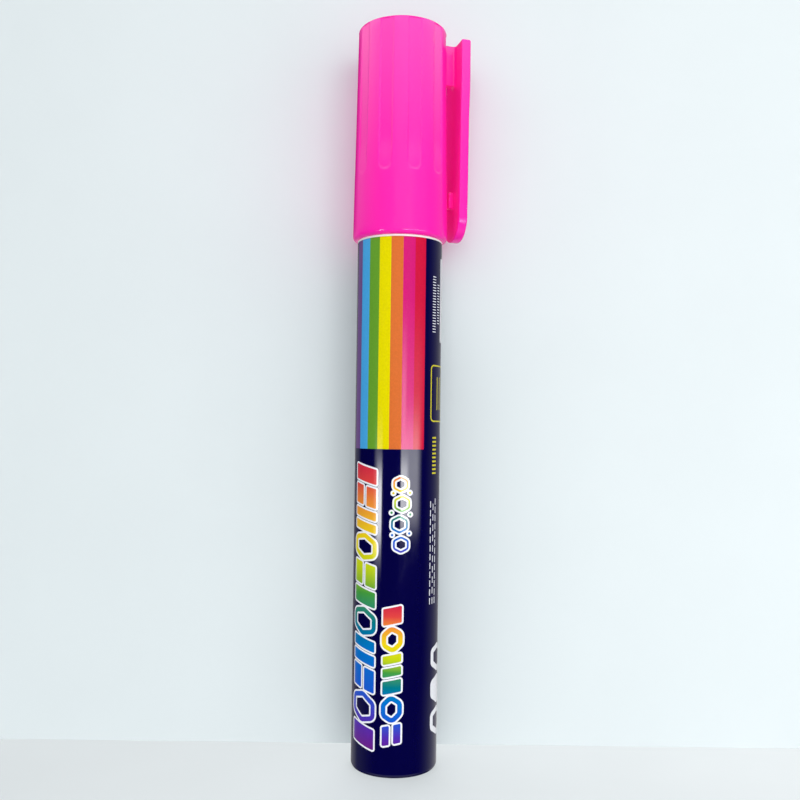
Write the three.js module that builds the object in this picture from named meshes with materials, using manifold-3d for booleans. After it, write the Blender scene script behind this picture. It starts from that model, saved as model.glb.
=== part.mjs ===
import * as THREE from 'three';
import { mergeVertices } from 'three/addons/utils/BufferGeometryUtils.js';
import Module from 'manifold-3d';

// A capped valve-action marker, standing on its butt. Millimetres, +Z from butt to cap.
// The clip lies towards +X. Heights are counted from the butt for the barrel, from the
// barrel's end for the front pieces, and from the cap's rim for the cap pieces.

const wasm = await Module();
wasm.setup();

// Driving dimensions: barrel and film
const penRadius = 8.0;
const barrelLength = 97.2;
const barrelWall = 1.0;
const buttThickness = 1.5;
const buttFillet = 0.8;
const dishRise = 1.1;
const dishRadius = 2.0;
const filmThickness = 0.15;
const filmTuck = 40;

// Driving dimensions: clearances
const fitGap = 0.1;
const seatGap = 0.3;
const snapGap = 0.08;

// Driving dimensions: front section
const spigotLength = 8.0;
const spigotWall = 1.15;
const flangeThickness = 0.6;
const neckStep = 0.6;
const neckLength = 8.4;
const neckRound = 1.0;
const clickRise = 0.12;
const clickHeight = 2.0;
const clickWidth = 1.6;
const coneLength = 7.6;
const landStep = 0.5;
const landLength = 2.0;
const sleeveWall = 1.15;
const sleeveLength = 7.2;
const sleeveRound = 0.4;
const snapRise = 0.2;
const snapDepth = 6.4;
const snapWidth = 1.0;

// Driving dimensions: seal ring
const sealWire = 0.28;
const sealDepth = 2.4;

// Driving dimensions: nib and its guide ribs
const nibRadius = 3.0;
const nibReach = 6.6;
const nibDome = 3.6;
const nibFlatRadius = 0.8;
const nibBoreGap = 0.35;
const ribCount = 6;
const ribThickness = 0.6;
const ribInset = 1.0;

// Driving dimensions: valve
const valveTravel = 2.5;
const chamberGap = 1.0;
const chamberLength = 5.5;
const seatHeight = 5.6;
const seatThickness = 1.4;
const seatHoleGap = 0.7;
const housingWall = 1.0;
const housingReach = 4.5;
const housingFloor = 1.2;
const inletRadius = 1.5;
const windowCount = 3;
const windowWidth = 2.6;
const windowMargin = 0.4;
const stemHeadInset = 0.2;
const stemHeadThickness = 1.1;
const stemRadius = 1.1;
const poppetGap = 1.2;
const poppetThickness = 1.5;
const guideRadius = 1.6;
const guideLength = 7.0;

// Driving dimensions: valve spring
const springGap = 0.5;
const springWire = 0.3;
const springTurns = 8;

// Driving dimensions: mixing ball
const ballRadius = 3.0;

// Driving dimensions: cap
const capFit = 0.35;
const capWall = 1.2;
const capDraft = 0.57;
const capRoof = 1.5;
const capTopRound = 0.7;
const capRimBevel = 0.35;
const clickBeadWidth = 1.0;
const fluteCount = 10;
const fluteWidth = 2.35;
const fluteFade = 0.04;
const fluteStart = 12.7;
const linerRibCount = 8;
const linerRibThickness = 0.8;
const linerRibLength = 16.0;

// Driving dimensions: inner cap
const innerCapRoom = 0.4;
const innerCapWall = 0.9;
const innerCapRoof = 1.0;
const innerCapLip = 1.5;
const tipRoom = 4.9;

// Driving dimensions: clip
const clipWidth = 9.0;
const clipThickness = 1.75;
const clipGap = 1.65;
const clipDrop = 1.35;
const clipEnd = 0.75;
const clipLean = 0.5;
const clipEdge = 0.35;
const bridgeThickness = 1.5;
const bridgeHeight = 7.75;
const pipWidth = 1.5;
const pipHeight = 3.2;
const pipRise = 0.9;
const pipDrop = 8.0;

// Facets round a full turn
const wideFacets = 48;
const capFacets = 60;
const smallFacets = 40;

// Radii worked out inwards from the outside of the pen
const filmInner = penRadius - filmThickness;
const barrelRadius = filmInner - fitGap;
const barrelBore = barrelRadius - barrelWall;
const spigotRadius = barrelBore - fitGap;
const housingBore = spigotRadius - spigotWall;
const housingRadius = housingBore - fitGap;
const cupBore = housingRadius - housingWall;
const poppetRadius = cupBore - poppetGap;
const seatHoleRadius = stemRadius + seatHoleGap;
const springRadius = guideRadius + springGap + springWire;

// Radii worked out outwards from the nib
const nibBore = nibRadius + nibBoreGap;
const sleeveRadius = nibBore + sleeveWall;
const landRadius = sleeveRadius + landStep;
const innerCapBore = landRadius + innerCapRoom;
const innerCapRadius = innerCapBore + innerCapWall;
const chamberRadius = nibRadius + chamberGap;
const stemHeadRadius = nibRadius - stemHeadInset;

// Heights in the front section, from the barrel's end
const neckTop = flangeThickness + neckLength + neckRound;
const landBottom = neckTop + coneLength;
const landTop = landBottom + landLength;
const sleeveTop = landTop + sleeveLength;
const seatTop = seatHeight + seatThickness;
const chamberTop = seatTop + chamberLength;
const nibBoreBottom = chamberTop + chamberRadius - nibBore;
const stemHeadBottom = seatTop + valveTravel + seatGap;
const nibRear = stemHeadBottom + stemHeadThickness + fitGap;
const nibTip = sleeveTop + nibReach;
const housingBottom = -spigotLength - housingReach;
const housingFloorTop = housingBottom + housingFloor;
const poppetTop = seatHeight - fitGap;
const poppetBottom = poppetTop - poppetThickness;
const springBottom = housingFloorTop + seatGap;
const springTop = poppetBottom - seatGap;

// Cap radii, and heights from the cap's rim
const neckRadius = penRadius - neckStep;
const capMouthBore = neckRadius + capFit;
const capMouthRadius = capMouthBore + capWall;
const capTopRadius = capMouthRadius - capDraft;
const innerCapMouth = landBottom - flangeThickness + fitGap;
const capInside = nibTip - flangeThickness + tipRoom + innerCapRoof;
const capLength = capInside + capRoof;
const clipTop = capLength - clipDrop;
const clipRootBottom = clipTop - bridgeHeight;
const clipHinge = clipRootBottom - seatGap - clipThickness / 2;
const clipStandoff = capMouthRadius + clipGap;
const clipMiddle = clipStandoff + clipThickness / 2;

const finish = (color, roughness) =>
  new THREE.MeshStandardMaterial({ color, roughness, metalness: 0 });
const pinkPlastic = finish(0xf832b0, 0.3);
const whitePlastic = finish(0xf2f2ef, 0.4);
const printedFilm = finish(0x0b0a42, 0.2);
const fibre = finish(0xf6f4ea, 0.9);
const rubber = finish(0x2b2b2d, 0.7);
const steel = new THREE.MeshStandardMaterial({ color: 0xc8c8cc, roughness: 0.25, metalness: 1 });

// A closed geometry as a solid that can be joined and cut
function solid(geometry) {
  const bare = geometry.clone();
  bare.deleteAttribute('normal');
  bare.deleteAttribute('uv');
  const merged = mergeVertices(bare, 1e-4);
  const corners = merged.index.array;
  const kept = [];
  for (let i = 0; i < corners.length; i += 3) {
    const [a, b, c] = [corners[i], corners[i + 1], corners[i + 2]];
    if (a !== b && b !== c && c !== a) kept.push(a, b, c);
  }
  return new wasm.Manifold(
    new wasm.Mesh({
      numProp: 3,
      vertProperties: new Float32Array(merged.attributes.position.array),
      triVerts: new Uint32Array(kept),
    }),
  );
}

// A named mesh made from a solid
function piece(name, body, material) {
  const { vertProperties, triVerts } = body.getMesh();
  const geometry = new THREE.BufferGeometry();
  geometry.setAttribute('position', new THREE.BufferAttribute(vertProperties, 3));
  geometry.setIndex(new THREE.BufferAttribute(triVerts, 1));
  geometry.computeVertexNormals();
  const mesh = new THREE.Mesh(geometry, material);
  mesh.name = name;
  return mesh;
}

// A turned solid: the outline's points are [radius, height], up the outside first
function turned(outline, facets) {
  const points = outline.map(([r, z]) => new THREE.Vector2(r, z));
  return solid(new THREE.LatheGeometry(points, facets).rotateX(Math.PI / 2));
}

// Points along a round corner of an outline, from one angle to another in degrees
function corner(r, z, radius, from, to, steps = 4) {
  return Array.from({ length: steps + 1 }, (_, i) => {
    const angle = THREE.MathUtils.degToRad(from + ((to - from) * i) / steps);
    return [r + radius * Math.cos(angle), z + radius * Math.sin(angle)];
  });
}

// A box given by its span along each axis
function block([x0, x1], [y0, y1], [z0, z1]) {
  const box = new THREE.BoxGeometry(x1 - x0, y1 - y0, z1 - z0);
  return solid(box.translate((x0 + x1) / 2, (y0 + y1) / 2, (z0 + z1) / 2));
}

// A shape drawn in Y and Z, pushed out along X between two radii, with rounded edges if asked
function pushedOut(shape, inner, outer, edge = 0) {
  const geometry = new THREE.ExtrudeGeometry(shape, {
    depth: outer - inner - 2 * edge,
    bevelEnabled: edge > 0,
    bevelThickness: edge,
    bevelSize: edge,
    bevelOffset: -edge,
    bevelSegments: 2,
    curveSegments: 8,
  });
  geometry.translate(0, 0, inner + edge);
  geometry.applyMatrix4(new THREE.Matrix4().set(0, 0, 1, 0, 1, 0, 0, 0, 0, 1, 0, 0, 0, 0, 0, 1));
  return solid(geometry);
}

// A strip of the given width whose lower end is a half circle
function tongue(width, top, bottom) {
  const half = width / 2;
  const shape = new THREE.Shape();
  shape.moveTo(half, top);
  shape.lineTo(-half, top);
  shape.lineTo(-half, bottom + half);
  shape.absarc(0, bottom + half, half, Math.PI, 2 * Math.PI, false);
  shape.lineTo(half, top);
  return shape;
}

// Copies of a solid spaced evenly round the axis
function around(body, count, phase = 0) {
  return Array.from({ length: count }, (_, i) => body.rotate([0, 0, phase + (360 / count) * i]));
}

// Barrel: a closed tube with a dished floor and a groove for the front section's bead
function barrel() {
  const grooveLow = barrelLength - snapDepth - snapWidth - snapRise;
  const grooveHigh = grooveLow + snapWidth + 2 * snapRise;
  const grooveRadius = barrelBore + snapRise;
  return turned(
    [
      [0, 0],
      ...corner(barrelRadius - buttFillet, buttFillet, buttFillet, -90, 0),
      [barrelRadius, barrelLength],
      [barrelBore, barrelLength],
      [barrelBore, grooveHigh + snapRise],
      [grooveRadius, grooveHigh],
      [grooveRadius, grooveLow],
      [barrelBore, grooveLow - snapRise],
      [barrelBore, buttThickness + dishRise],
      [dishRadius, buttThickness],
      [0, buttThickness],
    ],
    wideFacets,
  );
}

// Label film: a thin sleeve over the barrel, tucked under at the butt
function labelFilm() {
  const centre = barrelRadius - buttFillet;
  const inner = filmInner - centre;
  const outer = penRadius - centre;
  const open = [
    ...corner(centre, buttFillet, outer, -filmTuck, 0),
    [penRadius, barrelLength],
    [filmInner, barrelLength],
    ...corner(centre, buttFillet, inner, 0, -filmTuck),
  ];
  return turned([...open, open[0]], wideFacets);
}

// Front section: spigot, flange, neck, cone and nib sleeve, bored for the valve and nib
function frontSection() {
  const sealLow = -sealDepth - sealWire - fitGap;
  const sealHigh = -sealDepth + sealWire + fitGap;
  const sealFloor = spigotRadius - 2 * sealWire - snapGap;
  const beadRadius = spigotRadius + snapRise;
  const beadTop = -snapDepth;
  const beadBottom = -snapDepth - snapWidth;
  const neckEdge = neckTop - neckRound;
  const clickLow = flangeThickness + clickHeight;
  const clickHigh = clickLow + clickWidth;
  const open = [
    [housingBore, -spigotLength],
    [spigotRadius - fitGap, -spigotLength],
    [spigotRadius, beadBottom - snapRise],
    [beadRadius, beadBottom],
    [beadRadius, beadTop],
    [spigotRadius, beadTop + snapRise],
    [spigotRadius, sealLow],
    [sealFloor, sealLow],
    [sealFloor, sealHigh],
    [spigotRadius, sealHigh],
    [spigotRadius, 0],
    [penRadius, 0],
    [penRadius, flangeThickness],
    [neckRadius, flangeThickness],
    [neckRadius, clickLow],
    [neckRadius + clickRise, clickLow + clickWidth / 3],
    [neckRadius + clickRise, clickHigh - clickWidth / 3],
    [neckRadius, clickHigh],
    ...corner(neckRadius - neckRound, neckEdge, neckRound, 0, 90, 3),
    [landRadius, landBottom],
    [landRadius, landTop],
    [sleeveRadius, landTop],
    ...corner(sleeveRadius - sleeveRound, sleeveTop - sleeveRound, sleeveRound, 0, 90, 3),
    [nibBore, sleeveTop],
    [nibBore, nibBoreBottom],
    [chamberRadius, chamberTop],
    [chamberRadius, seatTop],
    [housingBore, seatTop],
  ];
  const shell = turned([...open, open[0]], wideFacets);
  const ribSpan = [nibRadius + fitGap, nibBore + nibBoreGap];
  const ribHeight = [nibBoreBottom + ribInset, sleeveTop - sleeveRound];
  const rib = block(ribSpan, [-ribThickness / 2, ribThickness / 2], ribHeight);
  return wasm.Manifold.union([shell, ...around(rib, ribCount)]);
}

// Seal ring: a rubber ring in the spigot's groove
function sealRing() {
  const centre = spigotRadius - sealWire;
  return turned(corner(centre, -sealDepth, sealWire, -180, 180, 8), wideFacets);
}

// Nib: a round-ended fibre rod
function nib() {
  const dome = Array.from({ length: 6 }, (_, i) => {
    const angle = (Math.PI / 2) * (i / 6);
    const r = nibFlatRadius + (nibRadius - nibFlatRadius) * Math.cos(angle);
    return [r, nibTip - nibDome + nibDome * Math.sin(angle)];
  });
  return turned(
    [
      [0, nibRear],
      [nibRadius - seatGap, nibRear],
      [nibRadius, nibRear + seatGap],
      ...dome,
      [nibFlatRadius, nibTip],
      [0, nibTip],
    ],
    smallFacets,
  );
}

// Valve housing: a cup with an inlet in its floor and windows above it
function valveHousing() {
  const cup = turned(
    [
      [inletRadius, housingBottom],
      [housingRadius - housingFloor / 2, housingBottom],
      [housingRadius, housingBottom + housingFloor / 2],
      [housingRadius, seatHeight],
      [cupBore, seatHeight],
      [cupBore, housingFloorTop],
      [inletRadius, housingFloorTop],
      [inletRadius, housingBottom],
    ],
    smallFacets,
  );
  const span = [cupBore - housingWall, housingRadius + housingWall];
  const side = [-windowWidth / 2, windowWidth / 2];
  const height = [housingFloorTop + windowMargin, -spigotLength - windowMargin];
  const windows = around(block(span, side, height), windowCount);
  return cup.subtract(wasm.Manifold.union(windows));
}

// Valve seat: a soft washer clamped on top of the housing
function valveSeat() {
  return turned(
    [
      [seatHoleRadius, seatHeight],
      [housingRadius, seatHeight],
      [housingRadius, seatTop],
      [seatHoleRadius, seatTop],
      [seatHoleRadius, seatHeight],
    ],
    smallFacets,
  );
}

// Valve stem: the head under the nib, the shaft, the poppet and the spring's guide pin
function valveStem() {
  const headTop = stemHeadBottom + stemHeadThickness;
  return turned(
    [
      [0, poppetBottom - guideLength],
      [guideRadius - seatGap, poppetBottom - guideLength],
      [guideRadius, poppetBottom - guideLength + seatGap],
      [guideRadius, poppetBottom],
      [poppetRadius, poppetBottom],
      [poppetRadius, poppetTop],
      [stemRadius, poppetTop],
      [stemRadius, stemHeadBottom],
      [stemHeadRadius, stemHeadBottom],
      [stemHeadRadius, headTop],
      [0, headTop],
    ],
    smallFacets,
  );
}

// Valve spring: an open helix of round wire, and its least gap between turns
function valveSpring() {
  const low = springBottom + springWire;
  const rise = springTop - springWire - low;
  const stepsPerTurn = 8;
  const sides = 5;
  const steps = springTurns * stepsPerTurn;
  const at = (i) => {
    const angle = (2 * Math.PI * i) / stepsPerTurn;
    const height = low + (rise * i) / steps;
    return new THREE.Vector3(springRadius * Math.cos(angle), springRadius * Math.sin(angle), height);
  };
  const climb = Math.atan2(rise / springTurns, 2 * Math.PI * springRadius);
  const points = [];
  for (let i = 0; i <= steps; i += 1) {
    const centre = at(i);
    const outward = new THREE.Vector3(centre.x, centre.y, 0).normalize();
    const along = new THREE.Vector3(-outward.y, outward.x, 0);
    along.multiplyScalar(Math.cos(climb)).add(new THREE.Vector3(0, 0, Math.sin(climb)));
    const upward = new THREE.Vector3().crossVectors(outward, along);
    for (let k = 0; k < sides; k += 1) {
      const turn = (2 * Math.PI * k) / sides;
      const point = centre.clone();
      point.addScaledVector(outward, springWire * Math.cos(turn));
      point.addScaledVector(upward, springWire * Math.sin(turn));
      points.push(point);
    }
  }
  const triangles = [];
  for (let i = 0; i < steps; i += 1) {
    for (let k = 0; k < sides; k += 1) {
      const a = i * sides + k;
      const b = i * sides + ((k + 1) % sides);
      triangles.push(a, a + sides, b, b, a + sides, b + sides);
    }
  }
  for (let k = 1; k < sides - 1; k += 1) {
    const last = steps * sides;
    triangles.push(0, k, k + 1, last, last + k + 1, last + k);
  }
  let leastGap = Infinity;
  for (let i = 0; i < points.length; i += 1) {
    for (let j = i + (stepsPerTurn - 2) * sides; j < points.length; j += 1) {
      leastGap = Math.min(leastGap, points[i].distanceTo(points[j]));
    }
  }
  console.log(`valve spring: least gap between turns ${leastGap.toFixed(2)} mm`);
  const geometry = new THREE.BufferGeometry().setFromPoints(points);
  geometry.setIndex(triangles);
  return solid(geometry);
}

// Mixing ball: loose in the ink, at rest on the barrel's floor
function mixingBall() {
  return solid(new THREE.SphereGeometry(ballRadius, 24, 16).rotateX(Math.PI / 2));
}

// Cap: a drafted, fluted shell with a click ring, liner ribs and the clip's root
function cap() {
  const wallAt = (z) => capMouthRadius + ((capTopRadius - capMouthRadius) * z) / capLength;
  const insideRadius = wallAt(capInside) - capWall;
  const boreAt = (z) => capMouthBore + ((insideRadius - capMouthBore) * z) / capInside;
  const clickRadius = neckRadius + clickRise + snapGap;
  const clickTop = clickHeight - fitGap;
  const clickBottom = clickTop - clickBeadWidth;
  const clickLead = boreAt(0) - clickRadius;
  const open = [
    [capMouthBore, 0],
    [capMouthRadius - capRimBevel, 0],
    [wallAt(capRimBevel), capRimBevel],
    ...corner(capTopRadius - capTopRound, capLength - capTopRound, capTopRound, 0, 90),
    [0, capLength],
    [0, capInside],
    [insideRadius, capInside],
    [boreAt(clickTop + clickLead), clickTop + clickLead],
    [clickRadius, clickTop],
    [clickRadius, clickBottom],
    [boreAt(clickBottom - clickLead), clickBottom - clickLead],
  ];
  const shell = turned([...open, open[0]], capFacets);
  const flute = tongue(fluteWidth, capLength + fluteWidth, fluteStart);
  const cutter = pushedOut(flute, capTopRadius + fluteFade, capMouthRadius + fluteWidth);
  const flutes = around(cutter, fluteCount, 180 / fluteCount);
  const linerRib = block(
    [innerCapRadius + fitGap, insideRadius + capWall / 2],
    [-linerRibThickness / 2, linerRibThickness / 2],
    [capInside - linerRibLength, capInside + capRoof / 2],
  );
  const bridge = block(
    [insideRadius + capWall / 2, clipMiddle],
    [-bridgeThickness / 2, bridgeThickness / 2],
    [clipRootBottom, clipTop],
  );
  const rootShape = new THREE.Shape();
  rootShape.moveTo(clipWidth / 2, clipRootBottom);
  rootShape.lineTo(clipWidth / 2, clipTop);
  rootShape.lineTo(-clipWidth / 2, clipTop);
  rootShape.lineTo(-clipWidth / 2, clipRootBottom);
  const root = pushedOut(rootShape, clipStandoff, clipStandoff + clipThickness, clipEdge);
  const fluted = shell.subtract(wasm.Manifold.union(flutes));
  return wasm.Manifold.union([fluted, ...around(linerRib, linerRibCount), bridge, root]);
}

// Inner cap: a liner that closes over the nib and lands on the front section
function innerCap() {
  const lipRadius = landRadius + fitGap;
  const open = [
    [lipRadius, innerCapMouth],
    [innerCapRadius, innerCapMouth],
    [innerCapRadius, capInside],
    [0, capInside],
    [0, capInside - innerCapRoof],
    [innerCapBore, capInside - innerCapRoof],
    [innerCapBore, innerCapMouth + innerCapLip + innerCapBore - lipRadius],
    [lipRadius, innerCapMouth + innerCapLip],
  ];
  return turned([...open, open[0]], smallFacets);
}

// Clip arm: a round-ended tongue hung at its knuckle, with a gripping pip inside
function clipArm() {
  const bottom = clipEnd - clipHinge;
  const half = clipThickness / 2;
  const arm = pushedOut(tongue(clipWidth, 0, bottom), -half, half, clipEdge);
  const knuckle = solid(new THREE.CylinderGeometry(half, half, clipWidth - 2 * clipEdge, 16));
  const pipMiddle = bottom + pipDrop;
  const pip = block(
    [-half - pipRise, 0],
    [-pipWidth / 2, pipWidth / 2],
    [pipMiddle - pipHeight / 2, pipMiddle + pipHeight / 2],
  );
  return wasm.Manifold.union([arm, knuckle, pip]);
}

// Barrel group, from the butt up
const lower = new THREE.Group();
lower.add(piece('barrel', barrel(), whitePlastic));
lower.add(piece('label_film', labelFilm(), printedFilm));
const ball = piece('mixing_ball', mixingBall(), steel);
ball.position.z = buttThickness + fitGap + ballRadius;
lower.add(ball);

// Front group, from the barrel's end up
const front = new THREE.Group();
front.position.z = barrelLength;
front.add(piece('front_section', frontSection(), whitePlastic));
front.add(piece('seal_ring', sealRing(), rubber));
front.add(piece('valve_housing', valveHousing(), whitePlastic));
front.add(piece('valve_seat', valveSeat(), rubber));
front.add(piece('valve_stem', valveStem(), whitePlastic));
front.add(piece('valve_spring', valveSpring(), steel));
front.add(piece('nib', nib(), fibre));

// Cap group, from the rim up, with the clip hung on its root
const upper = new THREE.Group();
upper.position.z = barrelLength + flangeThickness;
upper.add(piece('cap', cap(), pinkPlastic));
upper.add(piece('inner_cap', innerCap(), whitePlastic));
const arm = piece('clip', clipArm(), pinkPlastic);
arm.position.set(clipMiddle, 0, clipHinge);
arm.rotation.y = THREE.MathUtils.degToRad(clipLean);
upper.add(arm);

const pen = new THREE.Group();
pen.add(lower, front, upper);

export default pen;
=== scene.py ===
import math

import bmesh
import bpy
import numpy as np
from mathutils import Matrix, Vector


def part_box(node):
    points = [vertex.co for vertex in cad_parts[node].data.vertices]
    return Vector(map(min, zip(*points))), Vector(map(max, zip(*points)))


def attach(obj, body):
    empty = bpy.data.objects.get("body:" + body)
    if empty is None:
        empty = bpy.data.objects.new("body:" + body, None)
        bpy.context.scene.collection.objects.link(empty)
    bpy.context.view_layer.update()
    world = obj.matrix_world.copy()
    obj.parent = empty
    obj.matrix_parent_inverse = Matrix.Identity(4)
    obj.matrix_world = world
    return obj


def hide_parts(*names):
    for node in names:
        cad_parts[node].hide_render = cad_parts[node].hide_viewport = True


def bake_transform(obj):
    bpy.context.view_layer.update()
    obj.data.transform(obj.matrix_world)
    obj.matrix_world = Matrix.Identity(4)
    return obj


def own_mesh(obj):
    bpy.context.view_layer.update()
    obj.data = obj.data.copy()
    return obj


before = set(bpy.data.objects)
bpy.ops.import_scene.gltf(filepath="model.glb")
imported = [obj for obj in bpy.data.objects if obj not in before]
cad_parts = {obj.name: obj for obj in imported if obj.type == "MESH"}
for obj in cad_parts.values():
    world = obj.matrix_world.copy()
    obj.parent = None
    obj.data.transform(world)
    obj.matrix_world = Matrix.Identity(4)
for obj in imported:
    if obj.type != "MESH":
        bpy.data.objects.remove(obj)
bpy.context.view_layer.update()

# A capped valve-action marker, standing on its butt. Lengths in this script are millimetres,
# angles are degrees, and finished meshes are in metres. The clip lies towards +X.
MM = 0.001


def corners_of(node):
    """The lowest and highest corner of a CAD node, in millimetres."""
    low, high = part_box(node)
    return np.array(low) / MM, np.array(high) / MM


# Sizes taken from the frame
film_high = corners_of("label_film")[1]
barrel_high = corners_of("barrel")[1]
front_low, front_high = corners_of("front_section")
nib_low, nib_high = corners_of("nib")
cap_low, cap_high = corners_of("cap")
liner_low, liner_high = corners_of("inner_cap")
clip_low, clip_high = corners_of("clip")
seat_low, seat_high = corners_of("valve_seat")
stem_low, stem_high = corners_of("valve_stem")
spring_low, spring_high = corners_of("valve_spring")
seal_low, seal_high = corners_of("seal_ring")
ball_low, ball_high = corners_of("mixing_ball")

pen_radius = film_high[1]
label_top = film_high[2]
barrel_radius = barrel_high[1]
rim_height = cap_low[2]
cap_top = cap_high[2]
mouth_radius = cap_high[1]
clip_outside = cap_high[0]
clip_half_width = clip_high[1]
clip_end = clip_low[2]
nib_radius = nib_high[1]

# Cap
cap_draft = 0.57
cap_wall = 1.2
cap_roof = 1.5
cap_top_round = 0.4
rim_round = 0.8
mouth_bore = mouth_radius - cap_wall
click_bead_rise = 0.15
flute_count = 10
flute_width = 2.5
flute_floor = 8.45
flute_slope = 0.0085
flute_start = 11.9
flute_ease = 0.42
flute_run = 6.2
flute_end_share = 0.2
liner_rib_count = 8
liner_rib_length = 16.0
liner_rib_reach = 7.5
liner_rib_thickness = 0.8

# Clip
clip_thickness = 1.9
clip_outer_edge = 0.4
clip_inner_edge = 0.2
clip_crown = 0.12
clip_lean = 0.5
root_top = 136.65
root_bottom = 128.9
bridge_half = 0.75
bridge_flare = 0.45
pip_half = np.array([0.8, 0.75, 1.6])
pip_height = 106.57

# Film, stripes and where the label's middle line faces
film_thickness = film_high[1] - barrel_radius - 0.1
film_tuck = 40.0
film_rise = 0.18
butt_fillet = 0.8
view_azimuth = -16.2
label_middle = view_azimuth - 90.0
stripe_left = -75.2
stripe_width = 16.0
stripe_foot = 58.7

# Mesh fineness
columns_round = 360
columns_small = 160
merge_distance = 2e-7


# Meshes


def grid(rows, columns):
    """Corners of the quads of a rows by columns grid of points that closes on itself both ways."""
    row = np.arange(rows)[:, None] * columns
    next_row = (np.arange(rows)[:, None] + 1) % rows * columns
    column = np.arange(columns)[None, :]
    next_column = (column + 1) % columns
    corners = [row + column, row + next_column, next_row + next_column, next_row + column]
    return np.stack(corners, -1).reshape(-1, 4)


def round_axis(radius, height, turn):
    """Points at a radius and height turned round the pen's axis: x = r cos a, y = r sin a."""
    return np.stack([radius * np.cos(turn), radius * np.sin(turn), height + 0 * turn], -1)


def tube(points):
    """A rows by columns grid of points as a shape that closes on itself across the columns only."""
    rows, columns = points.shape[:2]
    return points.reshape(-1, 3), grid(rows, columns)[: (rows - 1) * columns]


def joined(parts):
    """Several (points, quads) pairs as one, with the later ones' corners counted on."""
    points, quads, first = [], [], 0
    for part_points, part_quads in parts:
        points.append(part_points)
        quads.append(part_quads + first)
        first += len(part_points)
    return np.concatenate(points), np.concatenate(quads)


def placed(name, data):
    """A new object in the scene."""
    thing = bpy.data.objects.new(name, data)
    bpy.context.scene.collection.objects.link(thing)
    return thing


def make_piece(name, shape, finishes, body, replaced=(), inks=None, smooth=35):
    """A mesh object from points in millimetres and quads. Quads that lie on the axis are dropped
    and doubles merged, so that poles and seams close, and a piece whose signed volume is
    negative has its faces turned outwards."""
    points, quads = shape
    on_axis = np.hypot(points[:, 0], points[:, 1])[quads].max(1) < 1e-6
    quads = quads[~on_axis]
    mesh = bpy.data.meshes.new(name)
    mesh.from_pydata((points * MM).tolist(), [], quads.tolist())
    for finish in finishes:
        mesh.materials.append(finish)
    if inks is not None:
        mesh.polygons.foreach_set("material_index", inks[~on_axis])
    shell = bmesh.new()
    shell.from_mesh(mesh)
    bmesh.ops.remove_doubles(shell, verts=shell.verts, dist=merge_distance)
    if shell.calc_volume(signed=True) < 0:
        bmesh.ops.reverse_faces(shell, faces=shell.faces)
    shell.to_mesh(mesh)
    shell.free()
    mesh.shade_smooth()
    mesh.set_sharp_from_angle(angle=math.radians(smooth))
    piece = placed(name, mesh)
    if body:
        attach(piece, body)
    if replaced:
        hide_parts(*replaced)
    return piece


def rounded(corners, steps=6):
    """A closed outline through (radius, height, fillet) corners. Each fillet is the arc that
    touches both sides of its corner, found by turning evenly between its two end radii."""
    corners = np.array(corners, float)
    outline = []
    for before, here, after in zip(np.roll(corners, 1, 0), corners, np.roll(corners, -1, 0)):
        point, fillet = here[:2], here[2]
        if fillet == 0:
            outline.append(point[None])
            continue
        back = (before[:2] - point) / np.linalg.norm(before[:2] - point)
        ahead = (after[:2] - point) / np.linalg.norm(after[:2] - point)
        half = math.acos(np.clip(back @ ahead, -1, 1)) / 2
        centre = point + (back + ahead) / np.linalg.norm(back + ahead) * fillet / math.sin(half)
        start = point + back * fillet / math.tan(half) - centre
        end = point + ahead * fillet / math.tan(half) - centre
        sweep = math.pi - 2 * half
        share = np.linspace(0, 1, steps + 1)[:, None]
        arc = np.sin((1 - share) * sweep) * start + np.sin(share * sweep) * end
        outline.append(centre + arc / math.sin(sweep))
    return np.concatenate(outline)


def side_counts(outline, longest):
    """Into how many parts each side of a closed outline is cut to stay under a length."""
    sides = np.roll(outline, -1, 0) - outline
    return np.maximum(1, np.ceil(np.linalg.norm(sides, axis=1) / longest - 1e-9)).astype(int)


def cut_sides(outline, counts):
    """The closed outline with each side cut into its number of equal parts."""
    ends = np.roll(outline, -1, 0)
    pieces = [a + (b - a) * np.arange(n)[:, None] / n for a, b, n in zip(outline, ends, counts)]
    return np.concatenate(pieces)


def divided(outline, longest):
    """The closed outline with its sides cut into equal lengths no longer than the given one."""
    return cut_sides(outline, side_counts(outline, longest))


def turned(corners, columns=columns_small, longest=4.0, steps=6):
    """A rounded outline of (radius, height, fillet) corners carried round the pen's axis."""
    outline = divided(rounded(corners, steps), longest)
    turn = np.arange(columns) * 2 * np.pi / columns
    points = round_axis(outline[:, :1], outline[:, 1:], turn)
    return points.reshape(-1, 3), grid(len(outline), columns)


def soft_block(centre, half, edge, turn=0.0, steps=10):
    """A block with rounded edges: a sphere's points, each pushed out to its own corner of the
    smaller block inside, so point = centre + (half - edge) * signs + edge * direction."""
    around = (np.arange(4 * steps) + 0.5) * 2 * np.pi / (4 * steps)
    up = (np.arange(2 * steps) + 0.5) * np.pi / (2 * steps) - np.pi / 2
    up = np.concatenate([[-np.pi / 2], up, [np.pi / 2]])[:, None]
    direction = np.stack([np.cos(up) * np.cos(around), np.cos(up) * np.sin(around)], -1)
    direction = np.concatenate([direction, np.sin(up)[..., None] + 0 * direction[..., :1]], -1)
    signs = np.sign(np.round(direction, 9))
    pole = np.abs(direction[..., 2:]) > 1 - 1e-9
    signs[..., :2] = np.where(pole, 0, signs[..., :2])
    points = np.array(half) * signs + (direction - signs) * edge
    points = np.where(pole, np.array(half) * signs, points) + np.array(centre)
    angle = math.radians(turn)
    cosine, sine = math.cos(angle), math.sin(angle)
    return tube(points @ np.array([[cosine, sine, 0], [-sine, cosine, 0], [0, 0, 1]]))


def eased(value):
    """Nought to one with level ends: 3 v^2 - 2 v^3 of the value held between nought and one."""
    held = np.clip(value, 0, 1)
    return held * held * (3 - 2 * held)


# Finishes


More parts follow.
